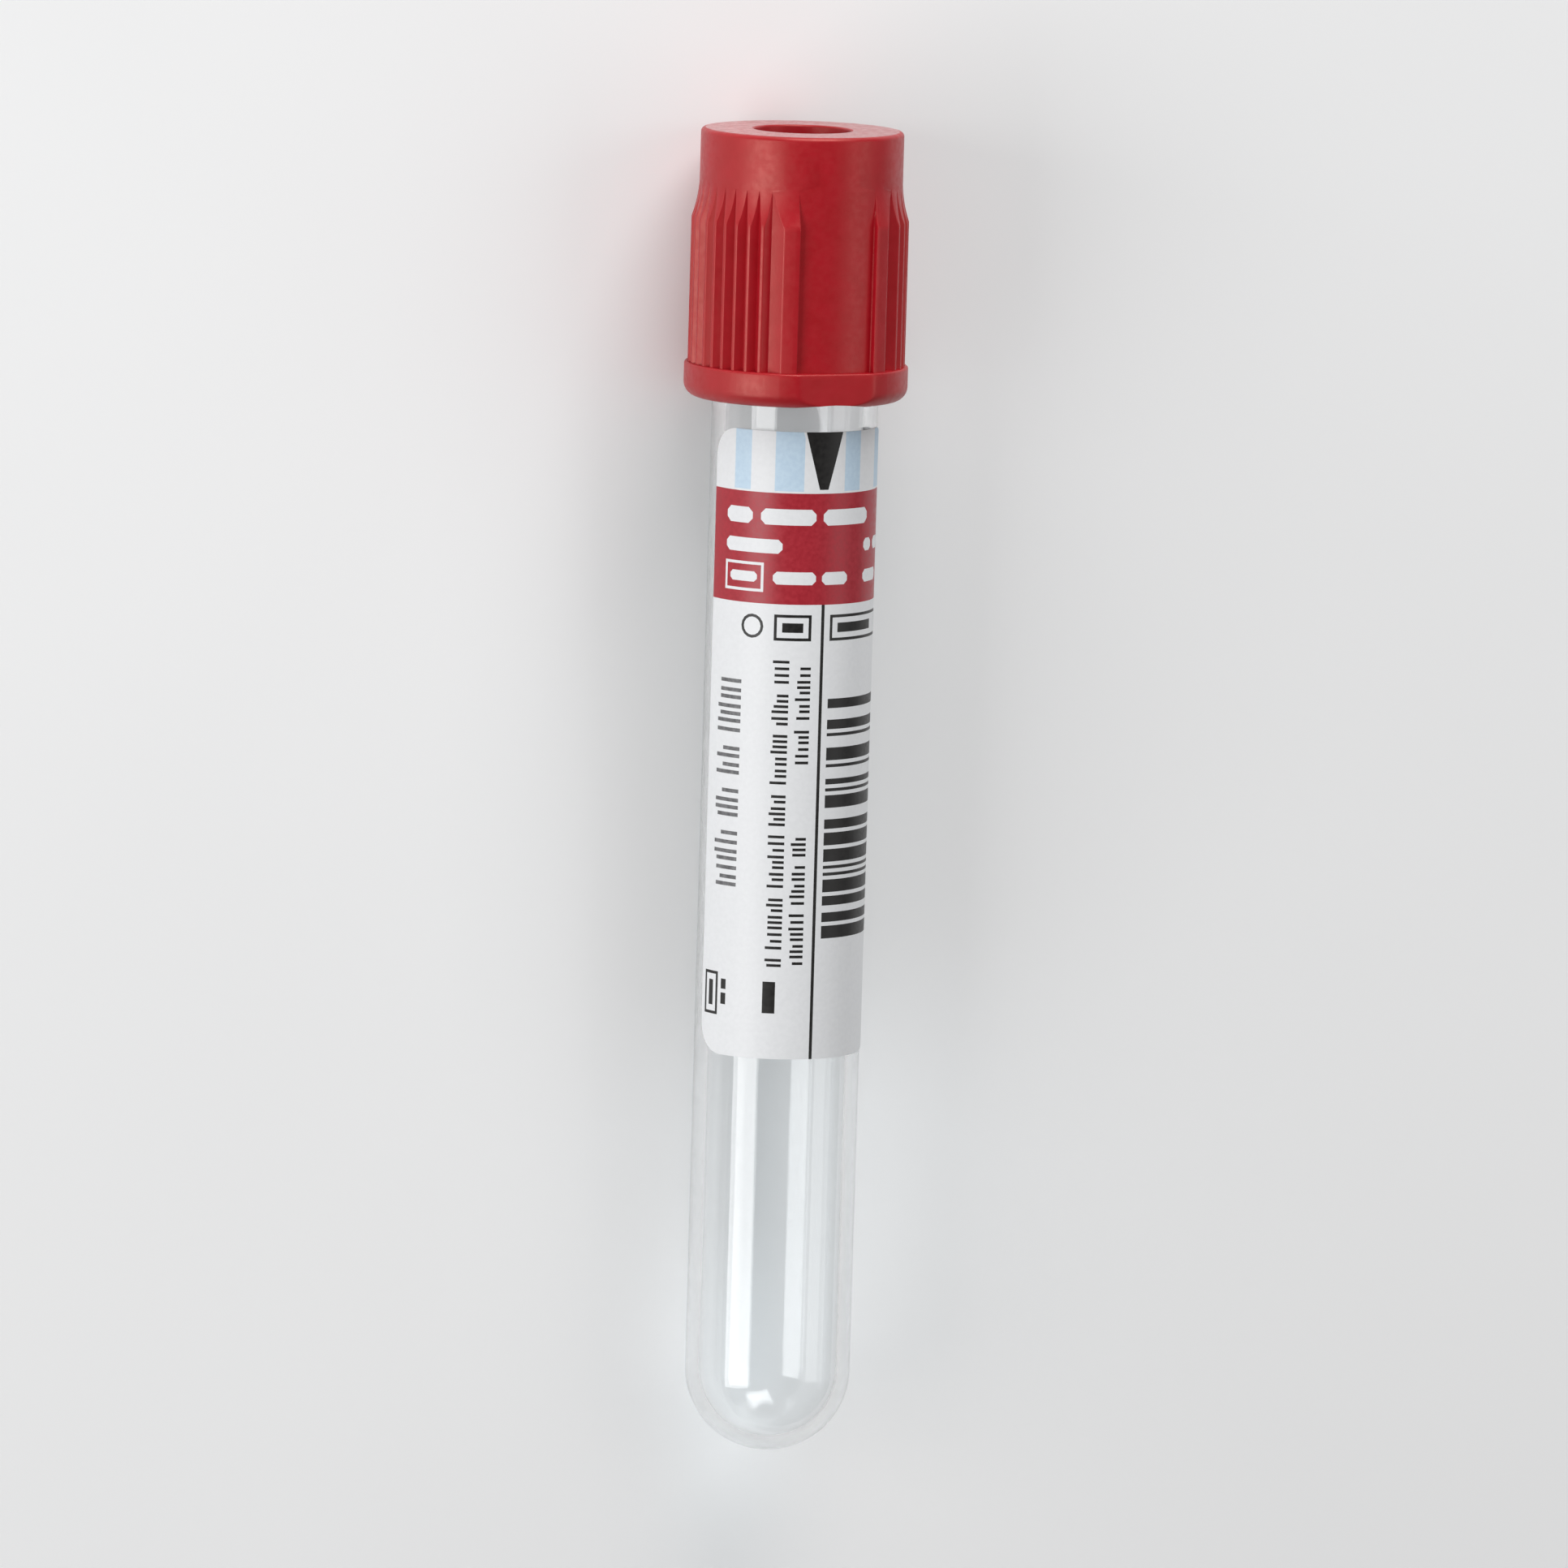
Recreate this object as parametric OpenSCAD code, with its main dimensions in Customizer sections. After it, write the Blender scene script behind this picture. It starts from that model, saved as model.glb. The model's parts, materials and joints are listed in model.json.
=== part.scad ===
// Blood collection tube: a clear round-bottomed tube with a paper label, closed by a rubber
// stopper that is held in a ribbed plastic shield.
// It lies on the flat of the shield's lower band and on its round bottom, closure towards +Y.
// Millimetres. Each piece is drawn upright, with the tip of the bottom at z = 0 and the axis
// along z, and laid_down() then brings it to rest.

/* [Tube] */
// Outside diameter of the tube
tube_d = 13; // [12:0.5:16]
// Length from the tip of the round bottom to the mouth
tube_len = 100; // [75:1:125]
// Thickness of the tube's wall
tube_wall = 1.1; // [0.8:0.1:1.3]
// Chamfer round both edges of the mouth
mouth_chamfer = 0.2; // [0.1:0.05:0.3]

/* [Stopper] */
// Depth of the plug below the mouth
plug_depth = 10; // [9:0.5:12]
// Gap between the plug and the bore
plug_gap = 0.05; // [0.02:0.01:0.1]
// Chamfer that leads the plug into the bore
plug_lead = 0.7; // [0.3:0.1:1]
// Height of the flange that sits on the mouth
flange_h = 2.9; // [2.5:0.1:3.5]
// Radius of the well that guides the needle
well_r = 3.4; // [3.2:0.05:3.4]
// Thickness of the rubber that the needle pierces
septum_t = 3.6; // [3:0.1:4]

/* [Shield] */
// Height of the shield
shield_h = 21; // [20:0.5:24]
// Thickness of the shield's top
top_t = 1.6; // [1.2:0.1:2]
// Radius of the needle hole in the top
hole_r = 3.8; // [3.5:0.1:4.2]
// Gap between the tube and the skirt
skirt_gap = 0.6; // [0.5:0.05:0.8]
// Thickness of the wall at the plain crown
crown_wall = 0.82; // [0.8:0.02:1]
// Height of the plain crown
crown_h = 4.1; // [3:0.1:5]
// Height of the flare between the crown and the ribs
flare_h = 2.9; // [2.5:0.1:3]
// Radius of the flare's hollow curve
flare_round = 10; // [9:0.5:20]
// Height of the plain band at the bottom
band_h = 2.7; // [2:0.1:3]
// Radius of the edge round the top
crown_edge = 0.35; // [0.2:0.05:0.5]
// Radius of the edge round the bottom
band_edge = 1.1; // [0.8:0.05:1.1]

/* [Grip] */
// How far the rib crests stand out past the crown
rib_rise = 0.56; // [0.4:0.02:0.7]
// How far the lower band stands out past the rib crests
band_rise = 0.27; // [0.2:0.01:0.4]
// Number of grooves in each of the two ribbed sectors
grooves = 13; // [5:2:13]
// Angle from one groove to the next
groove_pitch = 9.25; // [8.5:0.05:9.3]
// Width of a rib's crest
crest_w = 0.26; // [0.2:0.02:0.4]
// How far the groove roots lie inside the crown's surface
root_sink = 0.07; // [0.04:0.01:0.1]
// How far the foot of each flat lies inside the crown's surface
flat_sink = 0.17; // [0.1:0.01:0.2]
// Depth of the flats cut in the lower band
band_flat_cut = 0.6; // [0.5:0.05:0.65]
// Height of the shallow arch under each flat
arch_h = 0.25; // [0.1:0.05:0.4]
// Width of that arch
arch_w = 5.6; // [4:0.1:6]

/* [Label] */
// Height of the label
label_h = 49.3; // [30:0.1:50]
// Angle that the label covers round the tube
label_angle = 162; // [120:1:170]
// Turn of the label's middle from the middle of the flat above it
label_turn = -6; // [-30:1:30]
// Gap between the shield and the label
label_drop = 2; // [1:0.1:4]
// Thickness of the label
label_t = 0.1; // [0.08:0.01:0.15]
// Radius of the label's corners
label_corner = 2; // [1:0.1:3]

/* [Hidden] */
$fn = 96;
over = 1; // how far a cutter runs past what it cuts

tube_r = tube_d / 2;
bore_r = tube_r - tube_wall;

plug_r = bore_r - plug_gap;
flange_r = tube_r + skirt_gap - 0.05;
stopper_top = tube_len + flange_h;
well_floor_r = well_r - 0.3;
septum_top = tube_len - 0.7;
recess_mouth_r = plug_r - 1.7;
recess_top_r = recess_mouth_r - 1.2;

shield_top = stopper_top + top_t;
shield_foot = shield_top - shield_h;
skirt_r = tube_r + skirt_gap;
skirt_mouth_r = skirt_r + 0.4;
skirt_lead_h = 2.5;
bead_r = tube_r + 0.25;
bead_h = 0.6;
crown_r = skirt_r + crown_wall;
rib_r = crown_r + rib_rise;
band_r = rib_r + band_rise;
flare_top = shield_top - crown_h;
rib_top = flare_top - flare_h;
rib_foot = shield_foot + band_h;
flare_middle = [crown_r + rib_rise / 2, rib_top + flare_h / 2];
flare_chord = norm([rib_rise, flare_h]);
flare_centre = flare_middle
    + sqrt(flare_round * flare_round - flare_chord * flare_chord / 4) / flare_chord * [flare_h, rib_rise];
root_r = crown_r - root_sink;
half_groove = (rib_r * groove_pitch * PI / 180 - crest_w) / 2;
flat_top_r = crown_r;
flat_foot_r = crown_r - flat_sink;
band_flat_r = band_r - band_flat_cut;
flat_w = 12; // wider than any flat, and clear of the ribs
arch_r = (pow(arch_w / 2, 2) + arch_h * arch_h) / (2 * arch_h);

label_r = tube_r + label_t;
label_top = shield_foot - label_drop;
label_foot = label_top - label_h;
corner_inset = 0.98 * label_corner; // from a corner's centre to both edges, which its arc then crosses
corner_angle = asin(corner_inset / label_r);

// Rest: the round bottom and the lower edge of one band flat touch the floor.
edge_centre_r = band_r - band_edge;
contact_up = band_edge - sqrt(band_edge * band_edge - pow(band_flat_r - edge_centre_r, 2));
reach = shield_foot + contact_up - tube_r;
lean = acos(tube_r / norm([band_flat_r, reach])) - atan2(reach, band_flat_r);
rest_up = tube_r * (1 - sin(lean));
back_y = tube_r * (cos(lean) - 1);
front_y = (shield_top - crown_edge) * cos(lean) + (crown_r - crown_edge) * sin(lean) + crown_edge;
middle_y = (back_y + front_y) / 2;

// Brings an upright piece to rest: its axis along +Y, its -y side up.
module laid_down() {
    translate([0, -middle_y, rest_up])
        rotate([lean - 90, 0, 0])
            children();
}

// Half section of a closed round-bottomed cylinder whose tip touches z = tip.
module round_bottomed(radius, tip, top) {
    intersection() {
        translate([0, tip + radius]) circle(r = radius);
        translate([0, tip]) square([radius, radius]);
    }
    translate([0, tip + radius]) square([radius, top - tip - radius]);
}

module tube() {
    color("aliceblue", 0.35) laid_down()
        rotate_extrude() difference() {
            round_bottomed(tube_r, 0, tube_len);
            round_bottomed(bore_r, tube_wall, tube_len + over);
            mouth_edge(tube_r, 1);
            mouth_edge(bore_r, -1);
        }
}

// Corner cut off the mouth's section; side is 1 outside and -1 inside.
module mouth_edge(radius, side) {
    polygon([
        [radius - side * mouth_chamfer, tube_len],
        [radius - side * mouth_chamfer, tube_len + over],
        [radius + side * over, tube_len + over],
        [radius + side * over, tube_len - mouth_chamfer],
        [radius, tube_len - mouth_chamfer],
    ]);
}

// Flange on the mouth, plug in the bore, a well above the septum and a recess below it.
module stopper() {
    color("darkred") laid_down()
        rotate_extrude() polygon([
            [0, septum_top],
            [well_floor_r, septum_top],
            [well_r, stopper_top],
            [flange_r - 0.3, stopper_top],
            [flange_r, stopper_top - 0.3],
            [flange_r, tube_len],
            [plug_r, tube_len],
            [plug_r, tube_len - plug_depth + plug_lead],
            [plug_r - plug_lead, tube_len - plug_depth],
            [recess_mouth_r, tube_len - plug_depth],
            [recess_top_r, septum_top - septum_t],
            [0, septum_top - septum_t],
        ]);
}

// Half section of the lower band, with its round bottom edge.
module band_outside() {
    polygon([
        [0, shield_foot],
        [edge_centre_r, shield_foot],
        [edge_centre_r, shield_foot + band_edge],
        [band_r, shield_foot + band_edge],
        [band_r, rib_foot],
        [0, rib_foot],
    ]);
    translate([edge_centre_r, shield_foot + band_edge]) circle(r = band_edge);
}

// Half section above the band: the crest line of the ribs, the hollow flare and the crown.
module grip_outside() {
    difference() {
        translate([0, rib_foot - over]) square([rib_r, flare_centre.y - rib_foot + over]);
        translate(flare_centre) circle(r = flare_round, $fn = 480);
    }
    polygon([
        [0, rib_foot - over],
        [crown_r, rib_foot - over],
        [crown_r, shield_top - crown_edge],
        [crown_r - crown_edge, shield_top - crown_edge],
        [crown_r - crown_edge, shield_top],
        [0, shield_top],
    ]);
    translate([crown_r - crown_edge, shield_top - crown_edge]) circle(r = crown_edge);
}

// Half section of the space in the shield: the stopper's seat, the bead under it, the skirt.
module shield_inside() {
    polygon([
        [0, shield_foot - over],
        [skirt_mouth_r, shield_foot - over],
        [skirt_mouth_r, shield_foot],
        [skirt_r, shield_foot + skirt_lead_h],
        [skirt_r, tube_len - 2 * bead_h],
        [bead_r, tube_len - bead_h],
        [bead_r, tube_len],
        [skirt_r, tube_len],
        [skirt_r, stopper_top],
        [0, stopper_top],
    ]);
}

// One V groove on the +x side. It starts inside the lower band, which closes its foot.
module groove() {
    spread = half_groove * (over + rib_r - root_r) / (rib_r - root_r);
    translate([0, 0, rib_foot - 2 * over])
        linear_extrude(height = flare_top - rib_foot + 2 * over)
            polygon([[root_r, 0], [rib_r + over, spread], [rib_r + over, -spread]]);
}

// The grooves of both ribbed sectors, which face +x and -x.
module grip_grooves() {
    for (side = [0, 180], i = [0 : grooves - 1])
        rotate([0, 0, side + (i - (grooves - 1) / 2) * groove_pitch])
            groove();
}

// The flat panel on the +y side: it leaves the crown's surface and sinks towards its foot.
module panel_cut() {
    panel_h = flare_top - rib_foot;
    translate([0, flat_foot_r, rib_foot])
        rotate([-atan((flat_top_r - flat_foot_r) / panel_h), 0, 0])
            translate([-flat_w / 2, 0, 0])
                cube([flat_w, 2 * over, panel_h]);
}

// The flat on the lower band below the panel, with the shallow arch in its lower edge.
module band_cut() {
    translate([-flat_w / 2, band_flat_r, shield_foot - over])
        cube([flat_w, 2 * over, band_h + over]);
    translate([0, skirt_r - over, shield_foot + arch_h - arch_r])
        rotate([-90, 0, 0])
            cylinder(r = arch_r, h = band_r - skirt_r + 2 * over);
}

module shield() {
    color("firebrick") laid_down()
        difference() {
            union() {
                rotate_extrude() band_outside();
                difference() {
                    rotate_extrude() grip_outside();
                    grip_grooves();
                }
            }
            rotate_extrude() shield_inside();
            translate([0, 0, stopper_top - over]) cylinder(r = hole_r, h = top_t + 2 * over);
            for (side = [0, 180]) rotate([0, 0, side]) {
                panel_cut();
                band_cut();
            }
        }
}

// What is cut off one corner of the label: side is -1 or 1 along x, and up is -1 or 1 along z.
module label_corner_cut(side, up) {
    corner_z = (up > 0 ? label_top : label_foot) - up * corner_inset;
    cut_w = label_corner + over;
    rotate([0, 0, label_turn + side * (label_angle / 2 - corner_angle)])
        translate([0, 0, corner_z])
            rotate([90, 0, 0])
                linear_extrude(height = label_r + over)
                    difference() {
                        translate([min(0, side * cut_w), min(0, up * cut_w)]) square(cut_w);
                        circle(r = label_corner);
                    }
}

// The label's paper, round the -y side of the tube.
module label() {
    color("white") laid_down()
        difference() {
            rotate([0, 0, label_turn - 90 - label_angle / 2])
                rotate_extrude(angle = label_angle)
                    translate([tube_r, label_foot]) square([label_t, label_h]);
            for (side = [-1, 1], up = [-1, 1])
                label_corner_cut(side, up);
        }
}

tube();
stopper();
shield();
label();
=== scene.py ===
"""Blood collection tube: a clear round-bottomed tube with a paper label, closed by a rubber stopper
in a ribbed shield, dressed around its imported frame.

Every piece is modelled upright in millimetres, with the tip of the round bottom at the origin and
the axis along Z. Rest then lays its mesh down where the frame holds the tube.
"""

import json
import logging
import math
import random
from dataclasses import dataclass, field, replace
from enum import Enum
from typing import Callable, ClassVar, Mapping, Sequence

import bmesh
import bpy
from mathutils import Matrix, Vector


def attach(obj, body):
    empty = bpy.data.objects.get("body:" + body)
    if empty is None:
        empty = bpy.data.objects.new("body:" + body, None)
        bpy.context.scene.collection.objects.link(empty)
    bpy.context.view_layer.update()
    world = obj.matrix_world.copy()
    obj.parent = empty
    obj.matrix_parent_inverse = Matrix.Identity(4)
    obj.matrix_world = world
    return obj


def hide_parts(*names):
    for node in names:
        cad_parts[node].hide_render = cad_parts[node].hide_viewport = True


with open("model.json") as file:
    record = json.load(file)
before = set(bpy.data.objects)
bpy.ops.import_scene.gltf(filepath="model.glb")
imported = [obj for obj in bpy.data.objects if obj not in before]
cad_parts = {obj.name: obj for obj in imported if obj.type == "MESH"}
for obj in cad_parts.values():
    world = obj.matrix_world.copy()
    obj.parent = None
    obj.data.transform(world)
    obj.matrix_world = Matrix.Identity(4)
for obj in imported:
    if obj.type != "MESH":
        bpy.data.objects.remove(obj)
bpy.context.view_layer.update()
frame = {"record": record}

MM = 0.001
Colour = tuple[float, float, float]
Place = tuple[float, float, float, float]

# Tolerances in upright millimetres: points to merge, heights that are equal, points that a cut
# passes through, and how far past a print's edge a face's middle still counts as printed.
WELD = 1e-4
NEAR = 1e-3
CUT = 1e-5
SLACK = 1e-6

# The angle in degrees from which an edge stays sharp, and the least upward share of the normal of a
# face that counts as level.
CREASE = 40.0
LEVEL_NORMAL = 0.99

log = logging.getLogger("tube")


# ---------------------------------------------------------------- bench: edit mode by hand


def open_mesh(piece: bpy.types.Object) -> None:
    """Makes one piece the only selected one and enters edit mode with nothing selected.

    Args:
        piece: the mesh object to work on.
    """
    bpy.ops.object.select_all(action="DESELECT")
    piece.select_set(True)
    bpy.context.view_layer.objects.active = piece
    bpy.ops.object.mode_set(mode="EDIT")
    bpy.ops.mesh.select_mode(type="VERT")
    bpy.ops.mesh.select_all(action="DESELECT")


def close_mesh() -> None:
    """Leaves edit mode."""
    bpy.ops.object.mode_set(mode="OBJECT")


def pick_points(piece: bpy.types.Object, wanted: Callable[[Vector], bool]) -> None:
    """Selects the points whose place passes a test, and nothing else.

    Args:
        piece: the mesh object in edit mode.
        wanted: the test of a point's place.
    """
    bpy.ops.mesh.select_mode(type="VERT")
    mesh = bmesh.from_edit_mesh(piece.data)
    for point in mesh.verts:
        point.select_set(wanted(point.co))
    mesh.select_flush_mode()
    bmesh.update_edit_mesh(piece.data)


def pick_faces(piece: bpy.types.Object, wanted: Callable[[bmesh.types.BMFace], bool]) -> None:
    """Selects the faces that pass a test, and nothing else.

    Args:
        piece: the mesh object in edit mode.
        wanted: the test of a face.
    """
    bpy.ops.mesh.select_mode(type="FACE")
    bpy.ops.mesh.select_all(action="DESELECT")
    mesh = bmesh.from_edit_mesh(piece.data)
    for face in filter(wanted, mesh.faces):
        face.select_set(True)
    bmesh.update_edit_mesh(piece.data)


def new_piece(name: str) -> bpy.types.Object:
    """Names the primitive that was just added.

    Args:
        name: the piece's name.

    Returns:
        The named object.
    """
    piece = bpy.context.object
    piece.name = name
    piece.data.name = name
    return piece


def weigh_normals(piece: bpy.types.Object) -> None:
    """Lets the large faces settle the shading, so that the roundings stay narrow.

    Args:
        piece: the active mesh object, already shaded smooth.
    """
    weighing = piece.modifiers.new("weighing", "WEIGHTED_NORMAL")
    weighing.keep_sharp = True
    bpy.ops.object.modifier_apply(modifier=weighing.name)


@dataclass(frozen=True)
class Corner:
    """A corner of a turned outline: radius, height and rounding, in millimetres."""

    r: float
    z: float
    rounding: float = 0.0


def turn(name: str, corners: Sequence[Corner], steps: int) -> bpy.types.Object:
    """Turns an outline round the Z axis, as on a lathe.

    Args:
        name: the piece's name.
        corners: the outline, from one point on the axis round the outside to another.
        steps: the number of faces round the axis.

    Returns:
        The closed turned piece.
    """
    bpy.ops.mesh.primitive_circle_add(vertices=len(corners), radius=1, fill_type="NOTHING")
    piece = new_piece(name)
    for point, corner in zip(piece.data.vertices, corners):
        point.co = (corner.r, 0, corner.z)
    open_mesh(piece)
    mesh = bmesh.from_edit_mesh(piece.data)
    for edge in mesh.edges:
        edge.select_set(all(point.co.x == 0 for point in edge.verts))
    bpy.ops.mesh.select_mode(type="EDGE")
    bpy.ops.mesh.delete(type="EDGE")
    for rounding in sorted({corner.rounding for corner in corners} - {0.0}):
        places = [Vector((c.r, 0, c.z)) for c in corners if c.rounding == rounding]
        pick_points(piece, lambda co: any((co - place).length < WELD for place in places))
        bpy.ops.mesh.bevel(offset=rounding, affect="VERTICES", segments=4, clamp_overlap=False)
    bpy.ops.mesh.select_all(action="SELECT")
    bpy.ops.mesh.spin(steps=steps, angle=2 * math.pi, center=(0, 0, 0), axis=(0, 0, 1))
    bpy.ops.mesh.select_all(action="SELECT")
    bpy.ops.mesh.remove_doubles(threshold=WELD)
    bpy.ops.mesh.normals_make_consistent(inside=False)
    close_mesh()
    return piece


# ---------------------------------------------------------------- how the tube lies


@dataclass(frozen=True)
class Rest:
    """How the upright pieces come to lie, worked out from the frame's needle hole."""

    tip: Vector
    axis: Vector

    @classmethod
    def from_frame(cls, height: float) -> "Rest":
        """Finds the tube's axis and the tip of its round bottom.

        Args:
            height: from the tip to the shield's top, in millimetres.

        Returns:
            The rest of this tube.
        """
        hole = next(m for m in frame["record"]["mounts"] if m["name"] == "needle_hole")
        axis = Vector(hole["axis"]).normalized()
        top = Vector(hole["pos_m"]) + axis * hole["dims"]["length_mm"] / 2 * MM
        return cls(top - axis * height * MM, axis)

    @property
    def across(self) -> Vector:
        """The row frame's +X, which is also the upright pieces' +X."""
        return Vector((1, 0, 0))

    @property
    def up(self) -> Vector:
        """The direction that the upright pieces' -Y side faces once laid down."""
        return self.across.cross(self.axis)

    @property
    def matrix(self) -> Matrix:
        """From upright millimetres to the row frame's metres."""
        turned = Matrix((self.across, -self.up, self.axis)).transposed()
        return Matrix.Translation(self.tip) @ turned.to_4x4() @ Matrix.Scale(MM, 4)

    def lay(self, piece: bpy.types.Object) -> None:
        """Lays a piece's mesh down and leaves its object at the origin.

        Args:
            piece: the piece, modelled upright in millimetres.
        """
        piece.matrix_world = self.matrix
        bpy.ops.object.select_all(action="DESELECT")
        piece.select_set(True)
        bpy.context.view_layer.objects.active = piece
        bpy.ops.object.transform_apply(location=True, rotation=True, scale=True)


# ---------------------------------------------------------------- finishes


class Board:
    """A material's node tree, with short calls that add and join nodes."""

    def __init__(self, name: str) -> None:
        """Starts an empty material.

        Args:
            name: the material's name.
        """
        self.material = bpy.data.materials.new(name)
        self.material.use_nodes = True
        self.tree = self.material.node_tree
        self.tree.nodes.clear()

    def add(
        self,
        kind: str,
        inputs: Mapping[str | int, object] | None = None,
        **settings: object,
    ) -> bpy.types.Node:
        """Adds a node, sets it up and joins its inputs.

        Args:
            kind: the node's type, without the ShaderNode prefix.
            inputs: what each input takes, a value or another node's output.
            settings: the node's own settings.

        Returns:
            The new node.
        """
        node = self.tree.nodes.new("ShaderNode" + kind)
        for name, value in settings.items():
            setattr(node, name, value)
        for name, value in (inputs or {}).items():
            if isinstance(value, bpy.types.NodeSocket):
                self.tree.links.new(value, node.inputs[name])
            else:
                node.inputs[name].default_value = value
        return node

    def grain(self, size_mm: float, stretch: float = 1.0, detail: float = 2.0) -> bpy.types.NodeSocket:
        """A noise pattern fixed to the piece.

        Args:
            size_mm: the size of its features across the tube.
            stretch: how many times longer they are along the tube.
            detail: how many finer layers it has.

        Returns:
            The pattern, about 0.5 on average.
        """
        place = self.add("TexCoord").outputs["Object"]
        if stretch != 1.0:
            place = self.add("Mapping", {"Vector": place, "Scale": (1, 1 / stretch, 1)}).outputs[0]
        noise = self.add("TexNoise", {"Vector": place, "Scale": 1 / (size_mm * MM), "Detail": detail})
        return noise.outputs["Fac"]

    def spread(self, pattern: bpy.types.NodeSocket, low: float, high: float) -> bpy.types.NodeSocket:
        """Stretches a pattern's middle range, 0.35 to 0.65, to run from one value to another."""
        inputs = {"Value": pattern, "From Min": 0.35, "From Max": 0.65, "To Min": low, "To Max": high}
        return self.add("MapRange", inputs).outputs[0]

    def tint(
        self, pattern: bpy.types.NodeSocket, dark: Sequence[float], light: Sequence[float]
    ) -> bpy.types.NodeSocket:
        """A colour that varies with a pattern.

        Args:
            pattern: the pattern that drives it.
            dark: the linear colour where the pattern is low.
            light: the linear colour where it is high.

        Returns:
            The mixed colour.
        """
        mix = self.add("Mix", data_type="RGBA")
        self.tree.links.new(self.spread(pattern, 0, 1), mix.inputs[0])
        mix.inputs[6].default_value = (*dark, 1)
        mix.inputs[7].default_value = (*light, 1)
        return mix.outputs[2]

    def relief(
        self,
        pattern: bpy.types.NodeSocket,
        depth_mm: float,
        under: bpy.types.NodeSocket | None = None,
    ) -> bpy.types.NodeSocket:
        """A bump of a stated depth.

        Args:
            pattern: the height pattern, from 0 to 1.
            depth_mm: the depth from its lowest to its highest point.
            under: another relief that this one lies on.

        Returns:
            The bumped normal.
        """
        inputs = {"Height": pattern, "Distance": depth_mm * MM, "Strength": 1.0}
        if under is not None:
            inputs["Normal"] = under
        return self.add("Bump", inputs).outputs[0]

    def output(self, shader: bpy.types.NodeSocket) -> bpy.types.Material:
        """Joins the finished shader to the output and hands over the material."""
        self.add("OutputMaterial", {"Surface": shader})
        return self.material


@dataclass(frozen=True)
class MouldedPlastic:
    """Satin coloured plastic from a lightly textured mould."""

    name: str
    dark: Colour
    light: Colour
    sheen: Colour
    roughness: float = 0.4
    unevenness: float = 0.05
    mottle_mm: float = 1.6
    patch_mm: float = 0.5
    wave_mm: float = 2.4
    texture_mm: float = 0.09
    texture_depth_mm: float = 0.003
    ior: float = 1.51
    specular: float = 0.9

    def material(self) -> bpy.types.Material:
        """Builds the finish.

        Returns:
            The material.
        """
        board = Board(self.name)
        mottle = board.grain(self.mottle_mm, detail=3)
        smooth, rough = self.roughness - self.unevenness, self.roughness + self.unevenness
        patches = board.spread(board.grain(self.patch_mm), smooth, rough)
        waves = board.relief(board.grain(self.wave_mm), 2 * self.texture_depth_mm)
        texture = board.relief(board.grain(self.texture_mm), self.texture_depth_mm, waves)
        shader = board.add("BsdfPrincipled", {
            "Base Color": board.tint(mottle, self.dark, self.light),
            "Roughness": patches,
            "Normal": texture,
            "IOR": self.ior,
            "Specular IOR Level": self.specular,
            "Specular Tint": (*self.sheen, 1),
        })
        return board.output(shader.outputs[0])


@dataclass(frozen=True)
class MouldedRubber:
    """Dull dark rubber with a fine bloom."""

    name: str
    dark: Colour
    light: Colour
    smooth: float = 0.56
    rough: float = 0.7
    bloom_mm: float = 0.8
    texture_mm: float = 0.06
    texture_depth_mm: float = 0.004
    ior: float = 1.5

    def material(self) -> bpy.types.Material:
        """Builds the finish.

        Returns:
            The material.
        """
        board = Board(self.name)
        bloom = board.grain(self.bloom_mm, detail=4)
        shader = board.add("BsdfPrincipled", {
            "Base Color": board.tint(bloom, self.dark, self.light),
            "Roughness": board.spread(bloom, self.smooth, self.rough),
            "Normal": board.relief(board.grain(self.texture_mm), self.texture_depth_mm),
            "IOR": self.ior,
        })
        return board.output(shader.outputs[0])


@dataclass(frozen=True)
class ClearPlastic:
    """Clear polyester: glossy, with faint flow lines along the moulding, letting lamps through."""

    name: str
    tint: Colour
    shade: Colour
    roughness: float = 0.03
    clearness: float = 0.96
    ior: float = 1.57
    flow_mm: float = 0.9
    flow_stretch: float = 30.0
    flow_depth_mm: float = 0.004

    def material(self) -> bpy.types.Material:
        """Builds the finish.

        Returns:
            The material.
        """
        board = Board(self.name)
        flow = board.relief(board.grain(self.flow_mm, self.flow_stretch), self.flow_depth_mm)
        shader = board.add("BsdfPrincipled", {
            "Base Color": (*self.tint, 1),
            "Roughness": self.roughness,
            "Transmission Weight": self.clearness,
            "IOR": self.ior,
            "Normal": flow,
        })
        lamps = board.add("BsdfTransparent", {"Color": (*self.shade, 1)})
        ray = board.add("LightPath")
        mix = board.add("MixShader", {0: ray.outputs["Is Shadow Ray"]})
        board.tree.links.new(shader.outputs[0], mix.inputs[1])
        board.tree.links.new(lamps.outputs[0], mix.inputs[2])
        return board.output(mix.outputs[0])


@dataclass(frozen=True)
class PrintedPaper:
    """Coated label paper, bare or under one ink."""

    name: str
    dark: Colour
    light: Colour
    roughness: float = 0.42
    shinier: float = 0.05
    duller: float = 0.07
    fibre_mm: float = 0.35
    texture_mm: float = 0.12
    texture_depth_mm: float = 0.0018
    ior: float = 1.45

    def material(self) -> bpy.types.Material:
        """Builds the finish.

        Returns:
            The material.
        """
        board = Board(self.name)
        fibre = board.grain(self.fibre_mm, detail=5)
        shader = board.add("BsdfPrincipled", {
            "Base Color": board.tint(fibre, self.dark, self.light),
            "Roughness": board.spread(fibre, self.roughness - self.shinier, self.roughness + self.duller),
            "Normal": board.relief(board.grain(self.texture_mm, detail=3), self.texture_depth_mm),
            "IOR": self.ior,
        })
        return board.output(shader.outputs[0])


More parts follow.
